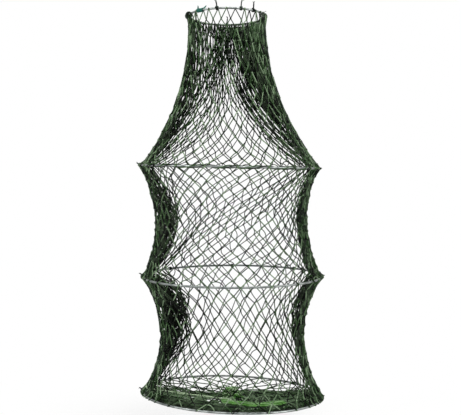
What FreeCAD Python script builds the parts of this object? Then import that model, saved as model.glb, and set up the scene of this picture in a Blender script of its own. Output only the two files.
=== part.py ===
import FreeCAD, Part
import os
from collections import namedtuple
from math import cos, pi, radians, sin

# A folding crab trap: a tube of knotted diamond netting hung on four wire hoops. The small mouth
# hoop is at the top, and three equal hoops hold the neck's foot, the middle and the floor open.
# All sizes are in millimetres. The origin is the centre of the mouth hoop, +Z is up, the trap
# hangs down along -Z, and azimuths run from the front (-Y) towards the right (+X).

# Hoops
wire_d = 3.0
mouth_outer_d = 118.0
hoop_outer_d = 270.0
neck_height = 225.0
upper_height = 163.0
lower_height = 176.0
upper_x = 4.0           # how far the limp netting lets each hoop hang to the right
middle_x = 8.0
bottom_x = 8.0
upper_roll = 1.1        # degrees: the hoop's right side hangs lower
bottom_roll = 1.9
mouth_pitch = 2.8       # degrees: the hoop's front hangs higher
bottom_pitch = 3.0

# Netting
netting_t = 0.8         # the skin that stands in for the meshes, inner face to outer face
neck_flare = 2.2        # power of the curve from the mouth hoop out to the upper hoop
upper_waist = 19.5      # how far the wall pulls in, half way between its two hoops
lower_waist = 25.5
wall_stations = 9       # circles that each wall is lofted through

# Twine
twine_d = 1.5
wrap_play = 0.1         # between the wire and the twine that is wound on it
seat_gap = 0.3          # between the netting and what holds it
tie_length = 4.0
whipping_length = 16.0
teal_tie_length = 12.0
mouth_tail = 11.0       # how far the cut ends stand out of each kind of tie
whipping_tail = 8.0
hoop_tail = 5.0
seam_width = 3.0

# Floor
floor_sag = 5.0
gather_neck_r = 6.0
gather_neck_drop = 4.0  # how far the bunched netting hangs below the drawcord's lowest turn
drawcord_d = 1.8
drawcord_turns = 2
drawcord_knot_r = 2.1
drawcord_tail = 14.0
drawcord_tail_spread = 35.0     # degrees that each end turns away from the knot's own direction
fan_margin = 8.0        # from the spare netting's edge to the floor netting's
fan_spread = 190.0      # degrees of the circle that the spare netting covers
fan_centre_t = 6.0
fan_rim_t = 3.0

# Azimuths in degrees, and the way each tail points: right, forward and up
mouth_whipping_at = -81.0
teal_tie_at = -42.0
teal_tails = [(-46.0, (-0.1, 0.0, 1.0)), (-36.0, (0.5, 0.1, 0.9))]
mouth_ties = [(-14.0, (-0.1, 0.0, 1.0)), (21.0, (0.05, 0.0, 1.0)), (42.0, (0.1, 0.0, 1.0)),
              (110.0, (0.1, -0.1, 1.0)), (180.0, (0.0, -0.1, 1.0)), (-125.0, (-0.1, -0.1, 1.0))]
hoop_whipping_at = -90.0
hoop_whipping_way = (-0.8, 0.0, 0.5)
hoop_ties = [(90.0, (1.0, 0.0, 0.1)), (132.0, (0.7, -0.7, 0.2)), (180.0, (0.1, -1.0, 0.1)),
             (-132.0, (-0.7, -0.7, 0.2))]
neck_seam_at = 68.0
wall_seam_at = -72.0
drawcord_knot_at = 100.0

wire_r = wire_d / 2
twine_r = twine_d / 2
wrap_inner_r = wire_r + wrap_play
wrap_outer_r = wrap_inner_r + twine_d
edge_offset = wrap_outer_r + seat_gap

Hoop = namedtuple("Hoop", "radius x z roll pitch")
mouth = Hoop((mouth_outer_d - wire_d) / 2, 0.0, 0.0, 0.0, mouth_pitch)
hoop_r = (hoop_outer_d - wire_d) / 2
upper = Hoop(hoop_r, upper_x, -neck_height, upper_roll, 0.0)
middle = Hoop(hoop_r, middle_x, upper.z - upper_height, 0.0, 0.0)
bottom = Hoop(hoop_r, bottom_x, middle.z - lower_height, bottom_roll, bottom_pitch)

X = FreeCAD.Vector(1, 0, 0)
Y = FreeCAD.Vector(0, 1, 0)
Z = FreeCAD.Vector(0, 0, 1)
ORIGIN = FreeCAD.Vector(0, 0, 0)


def on_circle(radius, azimuth, z=0.0):
    angle = radians(azimuth)
    return FreeCAD.Vector(radius * sin(angle), -radius * cos(angle), z)


def placed(shape, hoop):
    """The shape, made about a level hoop at the origin, moved to where the hoop hangs."""
    tilt = FreeCAD.Rotation(Y, hoop.roll).multiply(FreeCAD.Rotation(X, -hoop.pitch))
    moved = shape.copy()
    moved.Placement = FreeCAD.Placement(FreeCAD.Vector(hoop.x, 0, hoop.z), tilt)
    return moved


def wire_hoop(hoop):
    return placed(Part.makeTorus(hoop.radius, wire_r), hoop)


def wrap(hoop, azimuth, length):
    """Twine wound close round a stretch of the hoop's wire, centred on the azimuth."""
    sweep = 360.0 * length / (2 * pi * hoop.radius)
    start = on_circle(hoop.radius, azimuth - sweep / 2)
    along = Z.cross(start)
    rims = [Part.Wire(Part.makeCircle(r, start, along)) for r in (wrap_outer_r, wrap_inner_r)]
    section = Part.Face(rims[0]).cut(Part.Face(rims[1]))
    return section.Faces[0].revolve(ORIGIN, Z, sweep)


def tail(hoop, azimuth, pointing, length):
    """A cut end of twine that leaves the wrap at the azimuth. Forward is towards the front."""
    right, forward, up = pointing
    direction = FreeCAD.Vector(right, -forward, up).normalize()
    root = on_circle(hoop.radius, azimuth) + direction * (wrap_inner_r + twine_r)
    return Part.makeCylinder(twine_r, length, root, direction)


def tie(hoop, azimuth, length, tails, tail_length):
    """One tie: its wrap and the tails that stand out of it, as one solid in the hoop's place."""
    solid = wrap(hoop, azimuth, length)
    for tail_azimuth, pointing in tails:
        solid = solid.fuse(tail(hoop, tail_azimuth, pointing, tail_length))
    return placed(solid.removeSplitter().Solids[0], hoop)


def ties(hoop, places, tail_length):
    singles = [tie(hoop, at, tie_length, [(at, way)], tail_length) for at, way in places]
    return Part.makeCompound(singles)


def neck_radius(t):
    return mouth.radius + (hoop_r - mouth.radius) * t ** neck_flare


def waisted_radius(waist):
    return lambda t: hoop_r - waist * 4 * t * (1 - t)


def wall_body(above, below, radius_at, offset):
    """A solid of the wall's outline between two hoops, its face moved out by the offset."""
    rims = []
    for station in range(wall_stations):
        t = station / (wall_stations - 1)
        top = above.z - edge_offset
        foot = below.z + edge_offset
        level = Hoop(radius_at(t) + offset, above.x + (below.x - above.x) * t,
                     top + (foot - top) * t,
                     above.roll + (below.roll - above.roll) * t,
                     above.pitch + (below.pitch - above.pitch) * t)
        rims.append(placed(Part.Wire(Part.makeCircle(level.radius)), level))
    return Part.makeLoft(rims, True)


def wall(above, below, radius_at):
    outer = wall_body(above, below, radius_at, netting_t / 2)
    return outer.cut(wall_body(above, below, radius_at, -netting_t / 2))


def seam(above, below, radius_at, azimuth):
    """The lacing that closes the netting into a tube: a strip on the outside of its wall."""
    inside = netting_t / 2 + seat_gap
    strip = wall_body(above, below, radius_at, inside + twine_d)
    strip = strip.cut(wall_body(above, below, radius_at, inside))
    reach = hoop_outer_d
    height = above.z - below.z
    band = Part.makeBox(reach, seam_width, height, FreeCAD.Vector(0, -seam_width / 2, below.z))
    band.rotate(ORIGIN, Z, azimuth - 90)
    return strip.common(band)


# Floor levels, measured from the bottom hoop's plane
floor_rim_r = bottom.radius - edge_offset
fan_r = floor_rim_r - fan_margin
floor_hole_r = gather_neck_r + seat_gap
floor_hole_z = -floor_sag / 2
cord_z = floor_hole_z + netting_t / 2 + seat_gap + drawcord_d / 2
turn_pitch = drawcord_d + wrap_play
top_turn_z = cord_z + turn_pitch * (drawcord_turns - 1)
fan_z = top_turn_z + drawcord_d / 2 + seat_gap


def floor_net():
    """The netting drawn in from the bottom hoop to the drawcord, dished under its own weight."""
    middle_r = (floor_rim_r + floor_hole_r) / 2
    edges = []
    for side in (netting_t / 2, -netting_t / 2):
        rim = FreeCAD.Vector(floor_rim_r, 0, side)
        low = FreeCAD.Vector(middle_r, 0, side - floor_sag)
        hole = FreeCAD.Vector(floor_hole_r, 0, side + floor_hole_z)
        edges.append((rim, Part.Arc(rim, low, hole).toShape(), hole))
    (top_rim, top, top_hole), (low_rim, low, low_hole) = edges
    outline = [top, Part.makeLine(top_hole, low_hole), low, Part.makeLine(low_rim, top_rim)]
    section = Part.Face(Part.Wire(Part.__sortEdges__(outline)))
    return placed(section.revolve(ORIGIN, Z, 360), bottom)


def floor_gather():
    """The bunched netting inside the drawcord, and the spare netting that fans out over it."""
    outline = [FreeCAD.Vector(0, 0, fan_z), FreeCAD.Vector(fan_r, 0, fan_z),
               FreeCAD.Vector(fan_r, 0, fan_z + fan_rim_t),
               FreeCAD.Vector(0, 0, fan_z + fan_centre_t)]
    section = Part.Face(Part.makePolygon(outline + outline[:1]))
    fan = section.revolve(ORIGIN, Z, fan_spread)
    fan.rotate(ORIGIN, Z, -90 - fan_spread / 2)
    neck_foot = cord_z - drawcord_d / 2 - gather_neck_drop
    neck_top = fan_z + fan_centre_t
    neck = Part.makeCylinder(gather_neck_r, neck_top - neck_foot, FreeCAD.Vector(0, 0, neck_foot))
    return placed(neck.fuse(fan).removeSplitter(), bottom)


def floor_drawcord():
    """The cord's turns round the bunched netting, with the knot and its two ends at one side."""
    cord_r = drawcord_d / 2
    turn_r = gather_neck_r + wrap_play + cord_r
    turns = [Part.makeTorus(turn_r, cord_r, FreeCAD.Vector(0, 0, cord_z + turn_pitch * turn))
             for turn in range(drawcord_turns)]
    knot_z = (cord_z + top_turn_z) / 2
    knot_at = on_circle(turn_r + cord_r + wrap_play + drawcord_knot_r, drawcord_knot_at, knot_z)
    knot = Part.makeSphere(drawcord_knot_r, knot_at)
    for spread in (-drawcord_tail_spread, drawcord_tail_spread):
        way = on_circle(1.0, drawcord_knot_at + spread)
        knot = knot.fuse(Part.makeCylinder(cord_r, drawcord_tail, knot_at, way))
    return placed(Part.makeCompound(turns + knot.removeSplitter().Solids), bottom)


parts = {
    "mouth_hoop": wire_hoop(mouth),
    "mouth_hoop_whipping": tie(mouth, mouth_whipping_at, whipping_length, [], mouth_tail),
    "mouth_teal_tie": tie(mouth, teal_tie_at, teal_tie_length, teal_tails, mouth_tail),
    "mouth_hoop_ties": ties(mouth, mouth_ties, mouth_tail),
    "neck_net": wall(mouth, upper, neck_radius),
    "neck_seam_lacing": seam(mouth, upper, neck_radius, neck_seam_at),
    "upper_wall_net": wall(upper, middle, waisted_radius(upper_waist)),
    "upper_seam_lacing": seam(upper, middle, waisted_radius(upper_waist), wall_seam_at),
    "lower_wall_net": wall(middle, bottom, waisted_radius(lower_waist)),
    "lower_seam_lacing": seam(middle, bottom, waisted_radius(lower_waist), wall_seam_at),
    "floor_net": floor_net(),
    "floor_drawcord": floor_drawcord(),
    "floor_gather": floor_gather(),
}
for name, hoop in (("upper", upper), ("middle", middle), ("bottom", bottom)):
    whipping = tie(hoop, hoop_whipping_at, whipping_length, [(hoop_whipping_at, hoop_whipping_way)],
                   whipping_tail)
    parts[name + "_hoop"] = wire_hoop(hoop)
    parts[name + "_hoop_whipping"] = whipping
    parts[name + "_hoop_ties"] = ties(hoop, hoop_ties, hoop_tail)

os.makedirs("parts", exist_ok=True)
for name, shape in parts.items():
    shape.exportStep("parts/" + name + ".step")
    print(name, len(shape.Solids), "solids", round(shape.Volume, 1), "mm3", shape.isValid())
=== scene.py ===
import math
import bpy
import numpy as np
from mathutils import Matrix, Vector


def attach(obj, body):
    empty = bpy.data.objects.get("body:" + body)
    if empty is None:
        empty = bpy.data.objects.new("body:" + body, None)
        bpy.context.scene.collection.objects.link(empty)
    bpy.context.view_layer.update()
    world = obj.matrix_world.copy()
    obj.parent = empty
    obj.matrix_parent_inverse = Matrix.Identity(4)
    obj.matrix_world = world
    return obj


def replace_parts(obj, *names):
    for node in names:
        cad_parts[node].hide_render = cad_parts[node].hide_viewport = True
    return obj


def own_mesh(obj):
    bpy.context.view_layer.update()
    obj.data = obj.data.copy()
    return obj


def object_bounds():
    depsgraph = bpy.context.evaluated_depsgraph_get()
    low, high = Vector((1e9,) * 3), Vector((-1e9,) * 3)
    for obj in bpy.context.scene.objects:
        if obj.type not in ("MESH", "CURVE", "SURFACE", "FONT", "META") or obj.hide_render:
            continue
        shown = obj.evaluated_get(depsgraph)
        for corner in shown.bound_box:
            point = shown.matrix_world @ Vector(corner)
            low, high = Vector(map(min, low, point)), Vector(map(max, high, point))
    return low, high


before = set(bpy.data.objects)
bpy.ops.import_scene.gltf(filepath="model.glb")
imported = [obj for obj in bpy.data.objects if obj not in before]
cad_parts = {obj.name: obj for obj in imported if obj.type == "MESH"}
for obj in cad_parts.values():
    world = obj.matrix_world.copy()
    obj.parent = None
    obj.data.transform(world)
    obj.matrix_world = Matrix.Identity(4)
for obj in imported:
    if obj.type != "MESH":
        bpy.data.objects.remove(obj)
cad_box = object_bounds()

MM = 0.001

# ---- Hoops ----------------------------------------------------------------------------------
# Four rounds of 3 mm spring steel wire, drawn and galvanised, one small and three equal. Each
# is bent from one length, and its two ends meet under a whipping. The CAD wires are shown.


def hoop_frame(node):
    """Centre, radius and the right, away and up directions of a hoop, from its CAD mesh."""
    points = np.array([v.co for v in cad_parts[node].data.vertices])
    centre = (points.min(axis=0) + points.max(axis=0)) / 2
    up = np.linalg.svd(points - centre, full_matrices=False)[2][2]
    up = up * np.sign(up[2])
    right = np.cross((0.0, 1.0, 0.0), up)
    right = right / np.linalg.norm(right)
    out = np.linalg.norm(np.cross(points - centre, up), axis=1)
    radius = (out.min() + out.max()) / 2
    return {"centre": centre, "radius": radius, "right": right, "away": np.cross(up, right), "up": up}


mouth = hoop_frame("mouth_hoop")
upper = hoop_frame("upper_hoop")
middle = hoop_frame("middle_hoop")
bottom = hoop_frame("bottom_hoop")
wire_r = 1.5 * MM


def hoop_outward(hoop, azimuth):
    """Directions out of the hoop's centre. Azimuths run from the front towards the right."""
    angle = np.radians(azimuth)[..., None]
    return np.sin(angle) * hoop["right"] - np.cos(angle) * hoop["away"]


def linear(hex_colour):
    """An sRGB hex colour as linear RGBA."""
    values = [int(hex_colour[i:i + 2], 16) / 255 for i in (1, 3, 5)]
    return [v / 12.92 if v <= 0.04045 else ((v + 0.055) / 1.055) ** 2.4 for v in values] + [1.0]


def add(tree, kind, inputs=None, **settings):
    """Adds one shader node. An input's value is a number or colour, or a socket to link from."""
    node = tree.nodes.new(kind)
    for name, value in settings.items():
        setattr(node, name, value)
    for name, value in (inputs or {}).items():
        if isinstance(value, bpy.types.NodeSocket):
            tree.links.new(value, node.inputs[name])
        else:
            node.inputs[name].default_value = value
    return node


def new_material(name):
    """An empty node material and its tree, with the output node made."""
    material = bpy.data.materials.new(name)
    material.use_nodes = True
    material.node_tree.nodes.clear()
    return material, material.node_tree


def finish_material(tree, shader):
    add(tree, "ShaderNodeOutputMaterial", {"Surface": shader.outputs[0]})


# Galvanised steel wire, drawn and dipped: bright zinc gone dull, in soft grey patches, with a fine
# grain from the die. The real grain is finer, and is drawn just coarse enough to show.
zinc_patch = 9 * MM
wire_grain = 0.8 * MM
grain_height = 0.05 * MM
galvanised, tree = new_material("galvanised_steel_wire")
place = add(tree, "ShaderNodeTexCoord").outputs["Object"]
patches = add(tree, "ShaderNodeTexNoise", {"Vector": place, "Scale": 1 / zinc_patch, "Detail": 4.0})
specks = add(tree, "ShaderNodeTexNoise", {"Vector": place, "Scale": 1 / wire_grain, "Detail": 3.0})
patch_share = add(tree, "ShaderNodeMapRange", {"Value": patches.outputs["Fac"], 1: 0.38, 2: 0.62})
zinc = add(tree, "ShaderNodeMix", {0: patch_share.outputs[0], 6: linear("#565b59"),
                                   7: linear("#8b908d")}, data_type="RGBA")
dull = add(tree, "ShaderNodeMapRange", {"Value": patches.outputs["Fac"], 3: 0.52, 4: 0.30})
grain = add(tree, "ShaderNodeBump", {"Height": specks.outputs["Fac"], "Strength": 0.25,
                                     "Distance": grain_height})
shader = add(tree, "ShaderNodeBsdfPrincipled", {
    "Base Color": zinc.outputs[2], "Metallic": 0.9, "Roughness": dull.outputs[0],
    "Normal": grain.outputs[0]})
finish_material(tree, shader)
for node in ("mouth_hoop", "upper_hoop", "middle_hoop", "bottom_hoop"):
    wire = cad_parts[node]
    wire.data.materials.clear()
    wire.data.materials.append(galvanised)
    for face in wire.data.polygons:
        face.use_smooth = True

# ---- Netting --------------------------------------------------------------------------------
# Twisted polyethylene twine of 1.5 mm, machine-knotted into diamond meshes of 15 to 17 mm
# bar. One tube of netting runs from the mouth to the floor, with the hoops threaded through it.
twine_r = 0.75 * MM
columns = 110
even_columns = 37            # the meshes round the tube where it isn't bunched
neck_rows = 17
upper_rows = 16
lower_rows = 13
neck_flare = 2.2             # how late the neck widens: 1 would be a straight cone
upper_waist = 19.5 * MM      # how far each wall draws in at mid-height
lower_waist = 25.5 * MM
bar_scatter = 0.04           # share by which bars differ in length
knot_scatter = 0.7           # degrees by which knots stand out of line
wall_swell = 0.5 * MM        # how far knots stand out of or behind the wall
wall_hold = 0.25             # how strongly each settling step keeps a knot at the wall
settle_steps = 90
settle_drop = 0.04 * MM
rng = np.random.default_rng(7)

# Where the netting is bunched: on the right, on the left and at the neck's back. Each entry is a
# level, from the mouth (0) by the upper hoop (1) and middle hoop (2) to the bottom hoop (3), then
# the bunch's azimuth and spread in degrees, and how many times denser than even it is there.
bunches = [
    [(0.0, 72.0, 24.0, 3.0), (0.4, 78.0, 24.0, 3.0), (0.7, 86.0, 20.0, 7.4),
     (1.0, 91.0, 19.0, 11.6), (1.5, 97.0, 15.5, 16.0), (2.0, 91.0, 19.0, 10.0),
     (2.35, 98.0, 17.5, 13.0), (3.0, 88.0, 25.0, 9.1)],
    [(0.0, -110.0, 38.0, 5.2), (0.45, -112.0, 36.0, 5.4), (0.7, -108.0, 22.0, 8.6),
     (1.0, -93.0, 19.0, 8.6), (1.45, -106.0, 22.0, 11.0), (2.0, -91.0, 21.0, 9.2),
     (2.35, -117.0, 24.0, 11.0), (2.7, -104.0, 23.0, 10.0), (3.0, -88.0, 25.0, 9.1)],
    [(0.0, 158.0, 48.0, 7.0), (0.4, 158.0, 46.0, 7.0), (0.65, 137.0, 38.0, 5.0),
     (1.0, 120.0, 34.0, 0.0), (3.0, 120.0, 34.0, 0.0)],
]
# Where bunched netting also folds inwards: at what azimuth, how wide, how deep, and between which
# levels.
pleats = [
    {"at": -105.0, "spread": 26.0, "depth": 26 * MM, "levels": (1.0, 2.0)},
    {"at": -118.0, "spread": 28.0, "depth": 32 * MM, "levels": (1.95, 2.8)},
    {"at": 125.0, "spread": 34.0, "depth": 12 * MM, "levels": (0.03, 0.95)},
    {"at": -112.0, "spread": 28.0, "depth": 9 * MM, "levels": (0.03, 0.95)},
    {"at": 96.0, "spread": 20.0, "depth": 12 * MM, "levels": (1.0, 3.0)},
]
pleat_columns = 4.6          # columns from one inward fold to the next
clump_columns = 5.5          # columns that cling together in a clump
clump_rows = 3.3             # rows from one clump down to the next
clump_pull = 1.1             # how many columns' width a column shifts into its clump
fold_painted_shade_depth = 9 * MM          # painted shade: twine inside a fold is drawn darker, falling off over this depth


def column_azimuths(level, share):
    """Where columns stand round the tube at a level. share is 0 at the front, 1 all the way round."""
    grid = np.linspace(-540.0, 540.0, 2161)      # every half degree, one and a half turns each way
    density = np.ones_like(grid)
    for bunch in bunches:
        levels, azimuths, spreads, strengths = zip(*bunch)
        away = (grid - np.interp(level, levels, azimuths) + 180.0) % 360.0 - 180.0
        strength = np.interp(level, levels, strengths)
        density += strength * np.exp(-(away / np.interp(level, levels, spreads)) ** 2)
    count = np.concatenate(([0.0], np.cumsum((density[1:] + density[:-1]) / 2)))
    count -= np.interp(0.0, grid, count)
    turn = np.interp(360.0, grid, count)
    return np.interp(share, count / turn, grid)


def row_shares(row):
    """Each row stands half a mesh on from the one above it."""
    shares = (np.arange(columns) + 0.5 * (row % 2)) / columns
    return (shares + 0.5) % 1.0 - 0.5


def clumped_azimuths(level, row):
    """Where a row's knots stand. Bunched columns cling together in clumps, with long gaps between."""
    shares = row_shares(row)
    spacing = column_azimuths(level, shares + 1 / columns) - column_azimuths(level, shares)
    # 0 where the columns stand almost evenly, 1 where they are closer than a sixth of that
    bunched = np.clip(1.25 - 1.6 * spacing * even_columns / 360, 0.0, 1.0)
    wave = (np.sin(2 * math.pi * shares * columns / clump_columns)
            * math.cos(2 * math.pi * row / clump_rows))
    return column_azimuths(level, shares + clump_pull * wave * bunched / columns)


def hoop_row(hoop, level, row):
    """Knots of the row that a hoop is threaded through, in turn outside and inside its wire."""
    azimuths = column_azimuths(level, row_shares(row))
    side = np.where(np.arange(columns) % 2 == 0, 1.0, -1.0) * (wire_r + twine_r * 1.3)
    outward = hoop_outward(hoop, azimuths)
    return hoop["centre"] + outward * (hoop["radius"] + side)[:, None]


def neck_radius(t):
    return mouth["radius"] + (upper["radius"] - mouth["radius"]) * t ** neck_flare


def upper_radius(t):
    return upper["radius"] - upper_waist * 4 * t * (1 - t)


def lower_radius(t):
    return upper["radius"] - lower_waist * 4 * t * (1 - t)


def fold_depth(level, azimuths):
    """How far the knots of one row lie inside the wall's outline."""
    depth = np.zeros(columns)
    wave = 0.5 - 0.5 * np.cos(2 * math.pi * np.arange(columns) / pleat_columns)
    for pleat in pleats:
        start, stop = pleat["levels"]
        share = np.clip((level - start) / (stop - start), 0.0, 1.0)
        away = (azimuths - pleat["at"] + 180.0) % 360.0 - 180.0
        near = np.exp(-(away / pleat["spread"]) ** 2)
        depth = depth + pleat["depth"] * near * math.sin(math.pi * share) ** 0.7 * wave
    return depth


def lower_columns(row, side):
    """The column in the next row that each knot's left (0) or right (1) bar runs down to."""
    shift = side - 1 + row % 2
    return (np.arange(columns) + shift) % columns


def hang_net(above, below, level, first_row, rows, radius_at):
    """Knots and bar lengths of one section of netting, hung between two hoops and let settle."""
    fine = np.linspace(0.0, 1.0, 400)
    height = above["centre"][2] - below["centre"][2]
    radii = radius_at(fine)
    slope = np.hypot(np.diff(radii), np.diff(fine) * height)
    along = np.concatenate(([0.0], np.cumsum(slope)))
    # the bar that makes the rows just fill the wall's length where the meshes are even
    low = 9 * MM
    high = 30 * MM
    for _ in range(40):
        bar = (low + high) / 2
        done = 0.0
        stops = [0.0]
        for _ in range(rows):
            r = np.interp(done, along, radii)
            done += math.sqrt(max(bar ** 2 - (math.pi * r / even_columns) ** 2, 1e-8))
            stops.append(done)
        if done > along[-1]:
            high = bar
        else:
            low = bar
    levels = np.interp(np.array(stops) / stops[-1] * along[-1], along, fine)
    knots = np.zeros((rows + 1, columns, 3))
    folds = np.zeros((rows + 1, columns))
    shade = np.ones((rows + 1, columns))
    for i, t in enumerate(levels):
        azimuths = clumped_azimuths(level + t, first_row + i)
        azimuths = azimuths + rng.normal(0.0, knot_scatter, columns)
        folds[i] = fold_depth(level + t, azimuths)
        # painted shade: the back is drawn darker than the front and sides, and twine deep in a fold
        # darker still
        shade[i] = (np.minimum(1.0, 0.92 + 0.36 * np.cos(np.radians(azimuths)))
                    * np.exp(-folds[i] / fold_painted_shade_depth))
        reach = radius_at(t) - folds[i] * 0.5
        near = above["centre"] + hoop_outward(above, azimuths) * reach[:, None]
        far = below["centre"] + hoop_outward(below, azimuths) * reach[:, None]
        knots[i] = near * (1 - t) + far * t
    knots[0] = hoop_row(above, level, first_row)
    knots[rows] = hoop_row(below, level + 1, first_row + rows)
    lengths = bar * (1 + rng.normal(0.0, bar_scatter, (rows, 2, columns)))
    swell = rng.normal(0.0, 1.0, (rows + 1, columns)) * wall_swell
    top = above["centre"]
    lean = below["centre"] - above["centre"]
    # the knots sink a little at a time, and each bar that this overstretches draws its ends back
    for _ in range(settle_steps):
        knots[1:rows, :, 2] -= settle_drop
        for start in (0, 1):
            for side in (0, 1):
                for i in range(start, rows, 2):
                    lower = lower_columns(first_row + i, side)
                    p = knots[i]
                    q = knots[i + 1][lower]
                    gap = q - p
                    length = np.linalg.norm(gap, axis=1)
                    over = np.maximum(length - lengths[i, side], 0.0) / length
                    p_share = 0.0 if i == 0 else (1.0 if i + 1 == rows else 0.5)
                    q_share = 0.0 if i + 1 == rows else (1.0 if i == 0 else 0.5)
                    knots[i] = p + gap * (over * p_share)[:, None]
                    knots[i + 1][lower] = q - gap * (over * q_share)[:, None]
        inner = knots[1:rows]
        t = np.clip((top[2] - inner[..., 2]) / height, 0.0, 1.0)
        axis = top[:2] + lean[:2] * t[..., None]
        from_axis = inner[..., :2] - axis
        r = np.linalg.norm(from_axis, axis=2)
        want = radius_at(t) + swell[1:rows] - folds[1:rows]
        inner[..., :2] = axis + from_axis * (1 + wall_hold * (want / r - 1))[..., None]
    return knots, lengths, shade


def tubes(paths, outward, radius, sides):
    """Closed tubes of quads along paths (count, points, 3). Gives vertices, faces and UVs."""
    count, points = paths.shape[:2]
    along = np.gradient(paths, axis=1)
    along /= np.linalg.norm(along, axis=2, keepdims=True)
    out = outward - (outward * along).sum(axis=2, keepdims=True) * along
    out /= np.linalg.norm(out, axis=2, keepdims=True)
    across = np.cross(along, out)
    turn = 2 * math.pi * np.arange(sides) / sides
    ring = out[:, :, None] * np.cos(turn)[:, None] + across[:, :, None] * np.sin(turn)[:, None]
    radius = np.broadcast_to(radius, (count, points))[:, :, None, None]
    verts = (paths[:, :, None] + ring * radius).reshape(-1, 3)
    run = np.linalg.norm(np.diff(paths, axis=1), axis=2)
    run = np.concatenate((np.zeros((count, 1)), np.cumsum(run, axis=1)), axis=1)
    tube, step, side = np.meshgrid(np.arange(count), np.arange(points - 1), np.arange(sides),
                                   indexing="ij")
    base = (tube * points + step) * sides
    after = (side + 1) % sides
    faces = np.stack((base + side, base + after, base + sides + after, base + sides + side), -1)
    faces = faces.reshape(-1, 4)
    u0 = run[tube, step]
    u1 = run[tube, step + 1]
    v0 = side / sides
    v1 = (side + 1) / sides
    uvs = np.stack((np.stack((u0, v0), -1), np.stack((u0, v1), -1),
                    np.stack((u1, v1), -1), np.stack((u1, v0), -1)), -2).reshape(-1, 4, 2)
    # quads that close both ends of a tube with an even number of sides
    first = (np.arange(count) * points * sides)[:, None]
    last = first + (points - 1) * sides
    for k in range(1, sides - 2, 2):
        low = np.concatenate((first, first + k + 2, first + k + 1, first + k), 1)
        high = np.concatenate((last, last + k, last + k + 1, last + k + 2), 1)
        faces = np.concatenate((faces, low, high))
        uvs = np.concatenate((uvs, np.zeros((2 * count, 4, 2))))
    return verts, faces, uvs


def new_piece(name, groups, material):
    """One mesh object from groups of (vertices, faces, UVs, shade). Shade goes with each vertex."""
    verts = np.concatenate([g[0] for g in groups])
    counts = np.cumsum([0] + [len(g[0]) for g in groups[:-1]])
    faces = np.concatenate([g[1] + start for g, start in zip(groups, counts)])
    uvs = np.concatenate([g[2] for g in groups])
    shade = np.concatenate([np.broadcast_to(g[3], (len(g[0]),)) for g in groups])
    mesh = bpy.data.meshes.new(name)
    mesh.vertices.add(len(verts))
    mesh.vertices.foreach_set("co", verts.ravel())
    mesh.loops.add(faces.size)
    mesh.loops.foreach_set("vertex_index", faces.ravel().astype(np.int32))
    mesh.polygons.add(len(faces))
    mesh.polygons.foreach_set("loop_start", np.arange(0, faces.size, 4, dtype=np.int32))
    mesh.polygons.foreach_set("use_smooth", np.ones(len(faces), dtype=bool))
    mesh.update(calc_edges=True)
    mesh.uv_layers.new(name="twist").data.foreach_set("uv", uvs.ravel().astype(np.float32))
    attribute = mesh.attributes.new("shade", "FLOAT", "POINT")
    attribute.data.foreach_set("value", shade.astype(np.float32))
    mesh.validate()
    mesh.materials.append(material)
    piece = bpy.data.objects.new(name, mesh)
    bpy.context.scene.collection.objects.link(piece)
    return piece


bar_points = np.linspace(0.0, 1.0, 4)
most_slack = 0.07            # the share of its chord that a bar's bow may take up


def unit(vectors):
    return vectors / np.linalg.norm(vectors, axis=-1, keepdims=True)


def outward_of(points):
    """Level directions away from the trap's middle."""
    return unit((points - middle["centre"]) * (1.0, 1.0, 0.0))


def bars(knots, lengths, first_row, facing=outward_of, painted_shades=None):
    """Tubes for every bar. A slack bar bows sideways or inwards by its spare length."""
    groups = []
    for i in range(len(lengths)):
        for side in (0, 1):
            p = knots[i]
            q = knots[i + 1][lower_columns(first_row + i, side)]
            chord = np.linalg.norm(q - p, axis=1)
            spare = np.clip(lengths[i, side] - chord, 0.0, most_slack * chord)
            bow = np.sqrt(0.375 * chord * spare)
            outward = facing((p + q) / 2)
            across = unit(np.cross(outward, q - p))
            way = unit(across * rng.normal(0.0, 1.0, (columns, 1))
                       - outward * np.abs(rng.normal(0.0, 0.6, (columns, 1))))
            s = bar_points[None, :, None]
            paths = p[:, None] + (q - p)[:, None] * s
            paths = paths + (way * bow[:, None])[:, None] * 4 * s * (1 - s)
            out = np.broadcast_to(outward[:, None], paths.shape)
            verts, faces, uvs = tubes(paths, out, twine_r, 6)
            # painted shade: each bar's random tone is multiplied by its row's painted shade
            shade = rng.random(columns) * (1.0 if painted_shades is None else painted_shades[i])
            groups.append((verts, faces, uvs, np.repeat(shade, len(bar_points) * 6)))
    return groups


# a trefoil of twine stands for the sheet bend that a netting machine ties
knot_turn = np.linspace(0.0, 2 * math.pi, 10)
knot_shape = np.stack((np.sin(knot_turn) + 2 * np.sin(2 * knot_turn),
                       np.cos(knot_turn) - 2 * np.cos(2 * knot_turn),
                       -1.2 * np.sin(3 * knot_turn)), -1) / 3.0


def knot_lumps(centres, size, facing=outward_of, thickness=0.95 * twine_r):
    """A pulled-tight knot at each centre: one closed loop of twine over and under itself."""
    centres = centres.reshape(-1, 3)
    outward = facing(centres)
    b = unit(np.cross(outward, unit(rng.normal(0.0, 1.0, centres.shape))))
    a = np.cross(b, outward)
    scale = size * (1 + rng.normal(0.0, 0.08, (len(centres), 1, 1)))
    paths = (a[:, None] * knot_shape[:, 0, None] + b[:, None] * knot_shape[:, 1, None]
             + outward[:, None] * knot_shape[:, 2, None]) * scale + centres[:, None]
    out = np.broadcast_to(outward[:, None], paths.shape)
    verts, faces, uvs = tubes(paths, out, thickness, 5)
    return verts, faces, uvs, np.repeat(rng.random(len(centres)), len(knot_turn) * 5)


lay_length = 2.4 * MM        # of twine in which its strands go once round
lay_height = 0.12 * MM
weathered_patch = 22 * MM
fibre_size = 0.5 * MM        # coarser than the real fibres, so that they show


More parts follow.
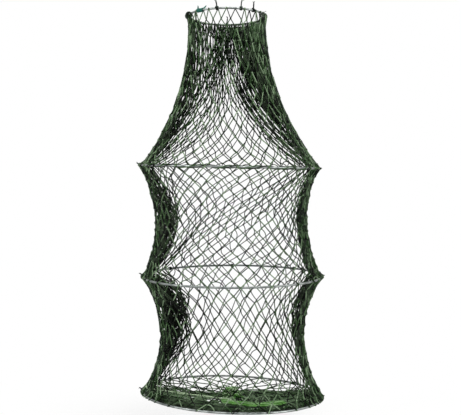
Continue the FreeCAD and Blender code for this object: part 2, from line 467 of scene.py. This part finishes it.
def twine_material(name, dark, light, worn):
    """Twisted twine: the lay of its strands shows as slanting ridges, with painted shade in the grooves
    between them, and it is paler where worn.
    """
    material, tree = new_material(name)
    uv = add(tree, "ShaderNodeUVMap", uv_map="twist").outputs[0]
    parts = add(tree, "ShaderNodeSeparateXYZ", {0: uv})
    lay = add(tree, "ShaderNodeMath", {0: parts.outputs["X"], 1: 2 * math.pi / lay_length},
              operation="MULTIPLY")
    around = add(tree, "ShaderNodeMath", {0: parts.outputs["Y"], 1: 2 * math.pi * 2},
                 operation="MULTIPLY")
    slant = add(tree, "ShaderNodeMath", {0: lay.outputs[0], 1: around.outputs[0]}, operation="ADD")
    ridge = add(tree, "ShaderNodeMath", {0: slant.outputs[0]}, operation="SINE")
    place = add(tree, "ShaderNodeTexCoord").outputs["Object"]
    weather = add(tree, "ShaderNodeTexNoise", {"Vector": place, "Scale": 1 / weathered_patch,
                                               "Detail": 3.0})
    fibre = add(tree, "ShaderNodeTexNoise", {"Vector": place, "Scale": 1 / fibre_size, "Detail": 2.0})
    shade = add(tree, "ShaderNodeAttribute", attribute_name="shade")
    strands = add(tree, "ShaderNodeValToRGB", {"Fac": shade.outputs["Fac"]})
    strands.color_ramp.elements[0].color = linear(dark)
    strands.color_ramp.elements[0].position = 0.3
    strands.color_ramp.elements[1].color = linear(worn)
    strands.color_ramp.elements[1].position = 1.0
    strands.color_ramp.elements.new(0.62).color = linear(light)
    faded_share = add(tree, "ShaderNodeMapRange", {"Value": weather.outputs["Fac"],
                                                   1: 0.5, 2: 0.8, 4: 0.5})
    faded = add(tree, "ShaderNodeMix", {0: faded_share.outputs[0], 6: strands.outputs["Color"],
                                        7: linear(worn)}, data_type="RGBA")
    # painted shade: the grooves of the lay are drawn darker
    groove_painted_shade = add(tree, "ShaderNodeMapRange", {"Value": ridge.outputs[0], 1: -1.0, 2: 1.0,
                                              3: 0.5, 4: 1.0})
    colour = add(tree, "ShaderNodeMix", {0: 1.0, 6: faded.outputs[2], 7: groove_painted_shade.outputs[0]},
                 data_type="RGBA", blend_type="MULTIPLY")
    fuzz = add(tree, "ShaderNodeMath", {0: ridge.outputs[0], 1: fibre.outputs["Fac"]},
               operation="ADD")
    bump = add(tree, "ShaderNodeBump", {"Height": fuzz.outputs[0], "Strength": 0.6,
                                        "Distance": lay_height})
    shader = add(tree, "ShaderNodeBsdfPrincipled", {
        "Base Color": colour.outputs[2], "Roughness": 0.5, "Specular IOR Level": 0.07,
        "Normal": bump.outputs[0]})
    finish_material(tree, shader)
    return material


# Twisted polyethylene netting, dyed green: strands go from near black to a pale grey-green. Their tone
# differs at random and is paler in worn patches;
# painted shade makes them darker at the back, inside folds and near the bottom hoop's wire.
netting = twine_material("twisted_polyethylene_netting_green", "#060a05", "#2e4c25", "#869d7c")
knot_size = 1.0 * MM
walls = (("neck_net", "mouth_frame", "neck_fold", mouth, upper, 0, neck_rows, neck_radius),
         ("upper_wall_net", "upper_frame", "upper_fold", upper, middle, neck_rows, upper_rows,
          upper_radius),
         ("lower_wall_net", "middle_frame", "lower_fold", middle, bottom,
          neck_rows + upper_rows, lower_rows, lower_radius))


def hang_piece(piece, body):
    """A piece of a wall hangs on the hoop above it, with a mesh of its own."""
    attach(piece, body)
    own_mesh(piece)


for level, (node, body, joint, above, below, first_row, rows, radius_at) in enumerate(walls):
    knots, lengths, painted_shades = hang_net(above, below, level, first_row, rows, radius_at)
    bar_piece = new_piece(node + "_bars", bars(knots, lengths, first_row, painted_shades=painted_shades), netting)
    knot_piece = new_piece(node + "_knots", [knot_lumps(knots[:-1], knot_size)], netting)
    for piece in (bar_piece, knot_piece):
        hang_piece(piece, body)
    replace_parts(bar_piece, node)

# Folds of spare netting that have fallen inside the bunches: closed-up strands that run down
# the wall just inside it, between two curves of azimuth (at its top, middle and foot).
inside_folds = [
    {"wall": 0, "strands": 96, "levels": (0.02, 0.74),
     "near": (100, 98, 96), "far": (176, 153, 126)},
    {"wall": 0, "strands": 16, "levels": (0.02, 0.5),
     "near": (-168, -158, -140), "far": (-186, -180, -166)},
    {"wall": 2, "strands": 42, "levels": (0.05, 0.7),
     "near": (-92, -94, -92), "far": (-112, -138, -108)},
]
fold_points = 40
wave_length = 30 * MM        # two bars
fold_sway = 1.3              # degrees that a closed-up strand sways to each side
fold_cut_short = 0.5         # the share of its length that the shortest strand lacks
fold_nearest = 2.0 * MM      # how far the folds stand off the wall at mid-height
fold_farthest = 9.0 * MM
fold_clearance = 1.6 * MM    # and how far the strands lie from it everywhere
# painted shade: strands inside the folds are drawn darker, their tone capped at this share
fold_painted_shade_brightest = 0.75
for number, fold in enumerate(inside_folds):
    node, body, joint, above, below, _, _, radius_at = walls[fold["wall"]]
    count = fold["strands"]
    height = above["centre"][2] - below["centre"][2]
    start, stop = fold["levels"]
    down = np.linspace(0.0, 1.0, fold_points)
    place_in = np.linspace(0.0, 1.0, count)[:, None]
    near = np.polyval(np.polyfit((0.0, 0.5, 1.0), fold["near"], 2), down)
    far = np.polyval(np.polyfit((0.0, 0.5, 1.0), fold["far"], 2), down)
    short = fold_cut_short * rng.random((count, 1)) * (stop - start)
    t = start + (stop - start - short) * down
    wave = np.sin(2 * math.pi * (t * height / wave_length + rng.random((count, 1))))
    azimuths = near + (far - near) * place_in + fold_sway * wave + rng.normal(0.0, 1.0, (count, 1))
    stand_off = fold_nearest + (fold_farthest - fold_nearest) * rng.random((count, 1))
    depth = stand_off * np.sin(math.pi * down) ** 0.5 + fold_clearance
    reach = (radius_at(t) - depth)[..., None]
    paths = ((above["centre"] + hoop_outward(above, azimuths) * reach) * (1 - t[..., None])
             + (below["centre"] + hoop_outward(below, azimuths) * reach) * t[..., None])
    verts, faces, uvs = tubes(paths, outward_of(paths), twine_r, 6)
    shade = np.repeat(rng.random(count) * fold_painted_shade_brightest, fold_points * 6)
    groups = [(verts, faces, uvs, shade), knot_lumps(paths[:, 2:-2:4], knot_size)]
    piece = new_piece(node + "_inside_fold_" + str(number + 1), groups, netting)
    hang_piece(piece, body)

# ---- Floor netting --------------------------------------------------------------------------
# The foot of the same tube of netting, drawn in from the bottom hoop to a drawcord at the
# middle. It hangs in a shallow dish, its meshes closing up as they near the cord.
floor_sag = 5 * MM
gather_r = 6.5 * MM
bar_length = 15.0 * MM
bottom_row = neck_rows + upper_rows + lower_rows
ropes = 18                   # the closed meshes run together in this many ropes at the cord
rope_pull = 0.92
rope_azimuths = np.arange(ropes) * 20.0 + rng.normal(0.0, 3.0, ropes)
reach_scatter = 2.0 * MM
height_scatter = 0.8 * MM


def floor_point(azimuths, reach, up):
    """Points over the bottom hoop's plane, at a reach from its centre."""
    return (bottom["centre"] + hoop_outward(bottom, azimuths) * reach[..., None]
            + bottom["up"] * up[..., None])


def upward_of(points):
    return np.broadcast_to(bottom["up"], points.shape)


def roped(azimuths, pull):
    """Azimuths drawn towards the nearest rope."""
    away = (azimuths[:, None] - rope_azimuths + 180.0) % 360.0 - 180.0
    nearest = np.abs(away).argmin(axis=1)
    return azimuths - away[np.arange(columns), nearest] * pull


floor_rows = math.ceil((bottom["radius"] - gather_r) / (0.95 * bar_length))
reaches = np.linspace(bottom["radius"], gather_r, floor_rows + 1)
knots = np.zeros((floor_rows + 1, columns, 3))
for i, reach in enumerate(reaches):
    share = (reach - gather_r) / (bottom["radius"] - gather_r)
    azimuths = roped(column_azimuths(3.0, row_shares(bottom_row + i)), rope_pull * (1 - share ** 2))
    azimuths = azimuths + rng.normal(0.0, 0.8, columns)
    at = reach + rng.normal(0.0, reach_scatter, columns) * (0 < i < floor_rows)
    dish = -floor_sag * (4 * share * (1 - share) + 0.5 * (1 - share))
    knots[i] = floor_point(azimuths, at, dish + rng.normal(0.0, height_scatter, columns))
knots[0] = hoop_row(bottom, 3.0, bottom_row)
lengths = bar_length * (1 + rng.normal(0.0, bar_scatter, (floor_rows, 2, columns)))
floor_bars = bars(knots, lengths, bottom_row, upward_of)
bar_piece = new_piece("floor_net_bars", floor_bars, netting)
knot_piece = new_piece("floor_net_knots", [knot_lumps(knots[:-1], knot_size, upward_of)], netting)
for piece in (bar_piece, knot_piece):
    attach(piece, "bottom_frame")
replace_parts(bar_piece, "floor_net")

# ---- Gathered and spare netting -------------------------------------------------------------
# Past the drawcord the tube of netting goes on. Its end is bunched in the cord, lies crumpled over
# the right of the floor, and runs along the front of the hoop, with its cut edge turned up.
spare_from = 2.0             # azimuths between which the spare netting lies
spare_to = 99.0
spare_rows = 12
spare_reach = 127 * MM
spare_scatter = 3.0 * MM
lowest = 0.8 * MM            # heights over the hoop's plane
highest = 5.0 * MM
edge_distance = 76 * MM      # of the straight cut edge, from the hoop's centre
edge_farthest = 100 * MM     # right of the front, where the edge runs back along the hoop
edge_facing = -24.5
edge_height = 4.5 * MM
turn_share = 0.12            # how much of the front netting's width is turned up with the edge
front_strands = 84
front_from = -93.0
front_to = 98.0
front_reach = 133 * MM
tuft_at = -1.0
tuft_reach = 42 * MM
tuft_r = 14 * MM
tuft_height = 14 * MM
tuft_knot_size = 3.2 * MM
wobble = rng.normal(0.0, 1.0, (4, 6))


def crumple(i, azimuths):
    """A smooth, uneven wave over the spare netting, of six unlike lengths."""
    angle = np.radians(azimuths)
    total = np.zeros(azimuths.shape)
    for k in range(6):
        total += wobble[0, k] * np.sin((k + 1) * 1.3 * angle + wobble[1, k] * 3 + i * (0.5 + 0.2 * k))
    return total / 2.5


def gathered_piece(name, groups, material):
    piece = new_piece(name, groups, material)
    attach(piece, "bottom_frame")
    return piece


knots = np.zeros((spare_rows + 1, columns, 3))
for i, share in enumerate(np.linspace(0.0, 1.0, spare_rows + 1)):
    round_tube = (np.arange(columns) + 0.5 * ((bottom_row + floor_rows + i) % 2)) / columns
    across = 1 - np.abs(2 * round_tube % 2 - 1)
    upper_layer = (round_tube > 0.5).astype(float)
    azimuths = spare_from + (spare_to - spare_from) * across
    azimuths = azimuths + 4 * crumple(i, across * 360) * math.sin(math.pi * share)
    reach = gather_r + (spare_reach - gather_r) * share ** 0.9
    reach = reach + rng.normal(0.0, spare_scatter, columns) * (share > 0)
    up = (1.4 + 1.6 * upper_layer + 1.2 * crumple(i + 3, across * 360 + 90 * upper_layer)) * MM
    up = np.clip(up + rng.normal(0.0, height_scatter, columns), lowest, highest)
    if i == 0:
        up = np.full(columns, 2.0 * MM)
    knots[i] = floor_point(azimuths, np.minimum(reach, spare_reach), up)
lengths = bar_length * (1 + rng.normal(0.0, bar_scatter, (spare_rows, 2, columns)))
spare_bars = bars(knots, lengths, bottom_row + floor_rows, upward_of)
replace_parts(gathered_piece("spare_netting_bars", spare_bars, netting), "floor_gather")
gathered_piece("spare_netting_knots", [knot_lumps(knots, knot_size, upward_of)], netting)

# the closed-up strands that run along the front of the hoop, out from the turned-up cut edge
steps = 80
azimuths = np.linspace(front_from, front_to, steps)
along = np.linspace(0.0, 1.0, steps)
past_edge = np.radians(np.clip(np.abs(azimuths - edge_facing), 0.0, 80.0))
inner = np.minimum(edge_distance / np.cos(past_edge), spare_reach)
inner = np.where(azimuths > 0, np.minimum(inner, edge_farthest), inner)
place_in = np.sort(rng.random((front_strands, 1)) ** 0.9, axis=0)
wander = 0.05 * np.sin(along * rng.integers(4, 13, (front_strands, 1)) * 2 * math.pi
                       + rng.random((front_strands, 1)) * 6.3)
place_in = np.clip(place_in + wander * np.sin(along * math.pi), 0.0, 1.0)
reach = inner + (front_reach - inner) * place_in
up = (lowest + 2.4 * MM * rng.random((front_strands, 1))
      + edge_height * np.exp(-(place_in / turn_share) ** 2) - 2.0 * MM * place_in ** 4)
strand_azimuths = np.broadcast_to(azimuths, reach.shape)
paths = floor_point(strand_azimuths, reach, up)
verts, faces, uvs = tubes(paths, upward_of(paths), twine_r, 6)
# painted shade: the strands nearer the hoop's wire are drawn darker
shade = rng.random(front_strands) * (1.0 - 0.55 * np.linspace(0.0, 1.0, front_strands))
shade = np.repeat(shade, steps * 6)
front = [(verts, faces, uvs, shade), knot_lumps(paths[:, 4:-4:9], knot_size, upward_of)]
gathered_piece("front_netting", front, netting)

# The same green netting in lighter colours: painted light on the top of the spare netting.
painted_lit_netting = twine_material("twisted_polyethylene_netting_green_painted_lit",
                                "#254819", "#64a047", "#b9cdab")
# the cut edge itself, two lines along the top of the turn at the left drawn near-white as a painted
# highlight, and then the strands next to it in the middle, drawn bright as painted light
edge = []
edge_lines = 2
bright_lines = 7
left_stretch = slice(0, 39)
middle_stretch = slice(34, 58)
for line in range(edge_lines + bright_lines):
    sway = np.sin(along * (7 + line) * 2 * math.pi + line) * 0.5 * MM
    path = floor_point(azimuths, inner + (1.3 * line + 0.6) * MM + sway,
                       np.full(steps, edge_height + (3.4 - 0.5 * line) * MM) + sway)
    path = path[left_stretch if line < edge_lines else middle_stretch]
    verts, faces, uvs = tubes(path[None], upward_of(path)[None], twine_r, 6)
    # painted highlight on the edge lines, painted light on the strands beside them
    shade = 0.98 if line < edge_lines else 0.4 + 0.4 * rng.random()
    edge.append((verts, faces, uvs, shade))

# the bunch itself, of strands standing through the cord, and a crumpled tuft in front of it
count = 90
bunch_half_height = 5.5 * MM
azimuths = rng.random(count) * 360
reach = np.sqrt(rng.random(count)) * gather_r
foot = floor_point(azimuths, reach * 1.1, np.full(count, -bunch_half_height))
waist = floor_point(azimuths + 12, reach * 0.75, np.full(count, 0.0))
head = floor_point(azimuths + 20, reach * 1.4, bunch_half_height + rng.random(count) * 2 * MM)
paths = np.stack((foot, (foot + waist) / 2, waist, (waist + head) / 2, head), axis=1)
out = np.broadcast_to(hoop_outward(bottom, azimuths)[:, None], paths.shape)
verts, faces, uvs = tubes(paths, out, twine_r, 6)
edge.append((verts, faces, uvs, np.repeat(rng.random(count), 5 * 6)))
count = 150
azimuths = rng.random(count) * 360
lift = rng.random(count)
reach = np.sqrt(rng.random(count)) * (tuft_r - 6 * MM * lift)
centres = floor_point(azimuths, reach, 2.0 * MM + tuft_height * lift)
centres = centres + hoop_outward(bottom, np.array(tuft_at)) * tuft_reach
edge.append(knot_lumps(centres, tuft_knot_size, upward_of, twine_r))
# the edge, the bunch and the tuft all take this painted-lit copy of the netting
gathered_piece("gathered_netting_edge_and_tuft", edge, painted_lit_netting)

# ---- Drawcord -------------------------------------------------------------------------------
# A braided polyester cord of 1.8 mm, passed twice round the bunched netting, pulled tight and
# tied at one side. Its two cut ends are left lying on the floor netting.
cord_r = 0.9 * MM
cord_turn_r = 7.0 * MM
cord_pitch = 1.9 * MM
cord_knot_at = 100.0
cord_knot_size = 2.1 * MM
cord_tail = 14 * MM
cord_tail_spread = 35.0
plait_length = 2.2 * MM      # of cord in which a strand goes once round
plait_height = 0.15 * MM
soiled_patch = 3 * MM


def cord_material(name, dark, light):
    """Plaited cord: two sets of slanting ridges cross; the ridges are drawn lighter as painted
    highlight and the gaps between them darker as painted shade.
    """
    material, tree = new_material(name)
    uv = add(tree, "ShaderNodeUVMap", uv_map="twist").outputs[0]
    parts = add(tree, "ShaderNodeSeparateXYZ", {0: uv})
    lay = add(tree, "ShaderNodeMath", {0: parts.outputs["X"], 1: 2 * math.pi / plait_length},
              operation="MULTIPLY")
    around = add(tree, "ShaderNodeMath", {0: parts.outputs["Y"], 1: 2 * math.pi * 3},
                 operation="MULTIPLY")
    left = add(tree, "ShaderNodeMath", {0: lay.outputs[0], 1: around.outputs[0]}, operation="ADD")
    right = add(tree, "ShaderNodeMath", {0: lay.outputs[0], 1: around.outputs[0]}, operation="SUBTRACT")
    left = add(tree, "ShaderNodeMath", {0: left.outputs[0]}, operation="SINE")
    right = add(tree, "ShaderNodeMath", {0: right.outputs[0]}, operation="SINE")
    ridge = add(tree, "ShaderNodeMath", {0: left.outputs[0], 1: right.outputs[0]}, operation="MAXIMUM")
    place = add(tree, "ShaderNodeTexCoord").outputs["Object"]
    soil = add(tree, "ShaderNodeTexNoise", {"Vector": place, "Scale": 1 / soiled_patch, "Detail": 3.0})
    # painted light: ridges drawn lighter, gaps darker
    share = add(tree, "ShaderNodeMapRange", {"Value": ridge.outputs[0], 1: -0.4, 2: 1.0})
    painted_ridge_light = add(tree, "ShaderNodeMix", {0: share.outputs[0], 6: linear(dark), 7: linear(light)},
               data_type="RGBA")
    dusty = add(tree, "ShaderNodeMapRange", {"Value": soil.outputs["Fac"], 1: 0.3, 2: 0.7, 3: 0.7})
    colour = add(tree, "ShaderNodeMix", {0: 1.0, 6: painted_ridge_light.outputs[2], 7: dusty.outputs[0]},
                 data_type="RGBA", blend_type="MULTIPLY")
    bump = add(tree, "ShaderNodeBump", {"Height": ridge.outputs[0], "Strength": 0.7,
                                        "Distance": plait_height})
    shader = add(tree, "ShaderNodeBsdfPrincipled", {
        "Base Color": colour.outputs[2], "Roughness": 0.7, "Specular IOR Level": 0.25,
        "Normal": bump.outputs[0]})
    finish_material(tree, shader)
    return material


turn = np.linspace(0.0, 2.0, 61)[None]
cord_z = -0.2 * MM
azimuths = cord_knot_at + turn * 360.0
level = cord_z - cord_pitch + cord_pitch * turn
paths = floor_point(azimuths, np.full(turn.shape, cord_turn_r), level)
verts, faces, uvs = tubes(paths, hoop_outward(bottom, azimuths), cord_r, 10)
drawcord = [(verts, faces, uvs, 0.5)]
knot_reach = np.array([cord_turn_r + cord_r + cord_knot_size])
knot_centre = floor_point(np.array([cord_knot_at]), knot_reach, np.array([cord_z]))
drawcord.append(knot_lumps(knot_centre, cord_knot_size, upward_of, cord_r))
for spread in (-cord_tail_spread, cord_tail_spread):
    way = hoop_outward(bottom, np.array(cord_knot_at + spread))
    s = np.linspace(0.0, 1.0, 9)[:, None]
    path = knot_centre[0] + way * cord_tail * s + bottom["up"] * (1.2 * MM * np.sin(s * 7.0 + spread))
    facing = np.broadcast_to(bottom["up"], path.shape)
    verts, faces, uvs = tubes(path[None], facing[None], cord_r, 10)
    drawcord.append((verts, faces, uvs, 0.5))
# Braided polyester: a dull, dark cord, its crossing strands drawn a little lighter as painted
# highlight.
drawcord_braid = cord_material("braided_polyester_drawcord_black_green", "#0a0d0a", "#2a332c")
piece = new_piece("drawcord_braid", drawcord, drawcord_braid)
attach(piece, "bottom_frame")
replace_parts(piece, "floor_drawcord")

# ---- Whippings and ties ---------------------------------------------------------------------
# Tarred twine wound close round the wire, over the meeting ends of each hoop and at points where
# the netting is held to it. Each is knotted off, and its cut ends are left to fray.
wound_r = wire_r + twine_r
whipping_length = 16 * MM
tie_length = 4 * MM
teal_tie_length = 12 * MM
mouth_tail = 11 * MM
teal_tail = 5 * MM
whipping_tail = 5 * MM
hoop_tail = 3 * MM
end_r = 1.0 * MM             # two plies of twine laid together
mouth_whipping_at = -81.0
teal_tie_at = -42.0
hoop_whipping_at = -90.0
mouth_ties = [(-14.0, (-0.1, 0.0, 1.0)), (21.0, (0.05, 0.0, 1.0)), (42.0, (0.1, 0.0, 1.0)),
              (110.0, (0.1, -0.1, 1.0)), (180.0, (0.0, -0.1, 1.0)), (-125.0, (-0.1, -0.1, 1.0))]
hoop_ties = [(90.0, (1.0, 0.0, 0.1)), (132.0, (0.7, -0.7, 0.2)), (180.0, (0.1, -1.0, 0.1)),
             (-132.0, (-0.7, -0.7, 0.2))]


def winding(hoop, at, length, thickness=twine_r, layer=0.0):
    """Twine wound round the wire in touching turns, centred on the azimuth."""
    turns = length / (thickness * 2.08)      # just over two radii to a turn
    s = np.linspace(0.0, 1.0, int(turns * 12) + 1)
    azimuths = at + np.degrees((s - 0.5) * length / hoop["radius"])
    around = (2 * math.pi * turns * s)[:, None]
    outward = hoop_outward(hoop, azimuths)
    facing = outward * np.cos(around) + hoop["up"] * np.sin(around)
    reach = wire_r + thickness + layer + rng.normal(0.0, 0.06 * MM, (len(s), 1))
    path = hoop["centre"] + outward * hoop["radius"] + facing * reach
    verts, faces, uvs = tubes(path[None], facing[None], thickness, 6)
    return verts, faces, uvs, np.full(len(verts), rng.random())


def cut_end(hoop, at, pointing, length, thickness=end_r):
    """A knot on the winding and the twine's end, which bends a little and frays into its yarns.
    pointing says how far the end goes to the right, to the front and up."""
    right, forward, up = pointing
    way = unit(right * hoop["right"] - forward * hoop["away"] + up * hoop["up"])
    start = hoop["centre"] + hoop_outward(hoop, np.array(at)) * hoop["radius"] + way * wound_r
    lean = np.cross(way, rng.normal(0.0, 1.0, 3))
    s = np.linspace(0.0, 1.0, 7)[:, None]
    path = start + way * length * 0.7 * s + lean * length * 0.05 * s ** 2
    groups = [knot_lumps(start[None], 1.5 * MM, lambda p: np.broadcast_to(way, p.shape), thickness)]
    verts, faces, uvs = tubes(path[None], np.broadcast_to(lean, path.shape)[None], thickness, 6)
    groups.append((verts, faces, uvs, np.full(len(verts), rng.random())))
    going = unit(path[-1] - path[-2])
    for _ in range(3):
        splay = np.cross(going, rng.normal(0.0, 1.0, 3))
        yarn = path[-1] + going * length * 0.34 * s + splay * length * 0.16 * s ** 1.5
        yarn = yarn - going * length * 0.04
        verts, faces, uvs = tubes(yarn[None], np.broadcast_to(splay, yarn.shape)[None],
                                  np.linspace(0.55, 0.3, 7) * thickness, 5)
        groups.append((verts, faces, uvs, np.full(len(verts), rng.random())))
    return groups


# Tarred twine: near black, with a grey bloom where the tar has rubbed off.
tarred = twine_material("tarred_twisted_twine_black_green", "#0b120c", "#26332a", "#56655a")
# A tie of polypropylene twine in teal, smooth and paler where it is frayed.
teal = twine_material("twisted_polypropylene_twine_teal", "#1f4a42", "#3f7a6c", "#7fa89c")


def tied_piece(name, groups, material, body, node):
    piece = new_piece(name, groups, material)
    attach(piece, body)
    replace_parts(piece, node)


whipping = [winding(mouth, mouth_whipping_at, whipping_length),
            winding(mouth, mouth_whipping_at, whipping_length * 0.9, layer=1.7 * twine_r),
            winding(mouth, mouth_whipping_at, whipping_length * 0.7, layer=3.2 * twine_r)]
tied_piece("mouth_whipping_twine", whipping, tarred, "mouth_frame", "mouth_hoop_whipping")
teal_twine = [winding(mouth, teal_tie_at, teal_tie_length)]
teal_twine += cut_end(mouth, teal_tie_at - 4.0, (-0.1, 0.0, 1.0), teal_tail)
teal_twine += cut_end(mouth, teal_tie_at + 6.0, (0.5, 0.1, 0.9), teal_tail)
tied_piece("mouth_teal_twine", teal_twine, teal, "mouth_frame", "mouth_teal_tie")
turns_and_ends = []
for at, pointing in mouth_ties:
    turns_and_ends.append(winding(mouth, at, tie_length))
    turns_and_ends += cut_end(mouth, at, pointing, mouth_tail)
tied_piece("mouth_ties_twine", turns_and_ends, tarred, "mouth_frame", "mouth_hoop_ties")
for name, hoop in (("upper", upper), ("middle", middle), ("bottom", bottom)):
    whipping = [winding(hoop, hoop_whipping_at, whipping_length)]
    whipping += cut_end(hoop, hoop_whipping_at, (-0.8, 0.0, 0.5), whipping_tail)
    tied_piece(name + "_whipping_twine", whipping, tarred, name + "_frame", name + "_hoop_whipping")
    turns_and_ends = []
    for at, pointing in hoop_ties:
        turns_and_ends.append(winding(hoop, at, tie_length))
        turns_and_ends += cut_end(hoop, at, pointing, hoop_tail)
    tied_piece(name + "_ties_twine", turns_and_ends, tarred, name + "_frame", name + "_hoop_ties")

# Where the neck is joined to the upper wall, a twine also runs on round the upper hoop's wire.
joining_turns = 19
s = np.linspace(0.0, 1.0, joining_turns * 16 + 1)
azimuths = s * 360.0
around = (2 * math.pi * joining_turns * s + 0.8 * np.sin(2 * math.pi * s * 7))[:, None]
outward = hoop_outward(upper, azimuths)
joining = []
for shift in (0.0, 0.5 * math.pi):
    turned = outward * np.cos(around + shift) + upper["up"] * np.sin(around + shift)
    path = upper["centre"] + outward * upper["radius"] + turned * wound_r
    verts, faces, uvs = tubes(path[None], turned[None], twine_r, 6)
    joining.append((verts, faces, uvs, np.full(len(verts), 0.3 + 0.2 * shift)))
piece = new_piece("upper_hoop_joining_twine", joining, netting)
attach(piece, "upper_frame")

# ---- Seam lacings ---------------------------------------------------------------------------
# The netting is cut flat, and its two edges are laced into a tube. Twine zigzags from one edge to
# the other down each wall, with a hitch at each mesh.
neck_seam_at = 68.0
wall_seam_at = -72.0
stitch = 6 * MM              # down the wall from one edge to the other
seam_half_width = 1.4 * MM
seam_gap = 1.5 * MM          # how far the lacing stands out of the wall
hitch_size = 1.2 * MM
seams = (("neck_seam_lacing", neck_seam_at), ("upper_seam_lacing", wall_seam_at),
         ("lower_seam_lacing", wall_seam_at))
for (node, at), (_, body, joint, above, below, _, _, radius_at) in zip(seams, walls):
    height = above["centre"][2] - below["centre"][2]
    stitches = int(height / stitch)
    t = np.linspace(0.02, 0.98, stitches * 6 + 1)
    reach = (radius_at(t) + seam_gap)[:, None]
    sway = np.sin(t * stitches * math.pi) * seam_half_width
    angle = at + np.degrees(sway / reach[:, 0])
    near = above["centre"] + hoop_outward(above, angle) * reach
    far = below["centre"] + hoop_outward(below, angle) * reach
    path = near * (1 - t[:, None]) + far * t[:, None]
    verts, faces, uvs = tubes(path[None], outward_of(path)[None], twine_r, 6)
    lacing = [(verts, faces, uvs, 0.4), knot_lumps(path[3::12], hitch_size)]
    piece = new_piece(node + "_twine", lacing, tarred)
    hang_piece(piece, body)
    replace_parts(piece, node)

# ---- Camera, lights and floor ---------------------------------------------------------------
# The trap hangs just clear of a white paper floor, in a white room, lit by three softboxes. The
# paper blends into the white of the room before it reaches the edge of the picture.
stage_size = 6.0
floor_z = cad_box[0][2] - 0.05
bpy.ops.mesh.primitive_plane_add(size=stage_size, location=(0, 0, floor_z))
floor = bpy.context.object
floor.name = "floor"
# Matt white paper: it takes the trap's soft shadow near the middle and is plain white farther out.
paper, tree = new_material("white_paper_floor")
rays = add(tree, "ShaderNodeLightPath")
matt = add(tree, "ShaderNodeBsdfDiffuse", {"Color": linear("#f4f4f2")})
white = add(tree, "ShaderNodeEmission", {"Color": linear("#ffffff"), "Strength": 1.0})
place = add(tree, "ShaderNodeTexCoord").outputs["Object"]
reach = add(tree, "ShaderNodeVectorMath", {0: place}, operation="LENGTH")
far = add(tree, "ShaderNodeMapRange", {"Value": reach.outputs["Value"], 1: 0.1, 2: 0.5, 3: 0.75})
seen = add(tree, "ShaderNodeMath", {0: rays.outputs["Is Camera Ray"], 1: rays.outputs["Is Glossy Ray"]},
           operation="ADD", use_clamp=True)
share = add(tree, "ShaderNodeMath", {0: seen.outputs[0], 1: far.outputs[0]}, operation="MULTIPLY")
mixed = add(tree, "ShaderNodeMixShader", {0: share.outputs[0], 1: matt.outputs[0], 2: white.outputs[0]})
finish_material(tree, mixed)
floor.data.materials.append(paper)

world = bpy.data.worlds.new("soft_room")
bpy.context.scene.world = world
world.use_nodes = True
tree = world.node_tree
tree.nodes.clear()
rays = add(tree, "ShaderNodeLightPath")
seen = add(tree, "ShaderNodeMath", {0: rays.outputs["Is Camera Ray"], 1: rays.outputs["Is Glossy Ray"]},
           operation="ADD", use_clamp=True)
seen = add(tree, "ShaderNodeMath", {0: seen.outputs[0], 1: rays.outputs["Is Transmission Ray"]},
           operation="ADD", use_clamp=True)
room = add(tree, "ShaderNodeBackground", {"Color": linear("#eef1f4"), "Strength": 0.2})
white = add(tree, "ShaderNodeBackground", {"Color": linear("#ffffff"), "Strength": 1.0})
mixed = add(tree, "ShaderNodeMixShader", {0: seen.outputs[0], 1: room.outputs[0], 2: white.outputs[0]})
add(tree, "ShaderNodeOutputWorld", {"Surface": mixed.outputs[0]})

height_middle = (cad_box[0][2] + cad_box[1][2]) / 2


def softbox(name, place, size, power):
    lamp = bpy.data.lights.new(name, "AREA")
    lamp.size = size
    lamp.energy = power
    source = bpy.data.objects.new(name, lamp)
    source.location = place
    aim = np.array((0.0, 0.0, height_middle)) - np.array(place)
    source.rotation_euler = Vector(aim).to_track_quat("-Z", "Y").to_euler()
    bpy.context.scene.collection.objects.link(source)


softbox("key_light", (-1.8, -1.1, 0.8), 1.1, 46.0)
softbox("fill_light", (2.0, -0.7, 0.5), 1.1, 36.0)
softbox("top_light", (0.3, -0.5, 1.7), 1.0, 34.0)

camera_distance = 1.30
horizon_up = 0.08829        # the eye is level with the upper hoop, above the picture's middle
frame_width = 691.5 * MM    # what the picture spans at the trap
camera_data = bpy.data.cameras.new("camera")
camera_data.sensor_width = 36.0
camera_data.lens = 36.0 * camera_distance / frame_width
camera_data.shift_y = -horizon_up
camera_data.clip_end = 20.0
camera = bpy.data.objects.new("camera", camera_data)
camera.location = (5.5 * MM, -camera_distance, upper["centre"][2])
camera.rotation_euler = (math.pi / 2, 0.0, 0.0)
bpy.context.scene.collection.objects.link(camera)
bpy.context.scene.camera = camera
bpy.context.scene.view_settings.view_transform = "Standard"
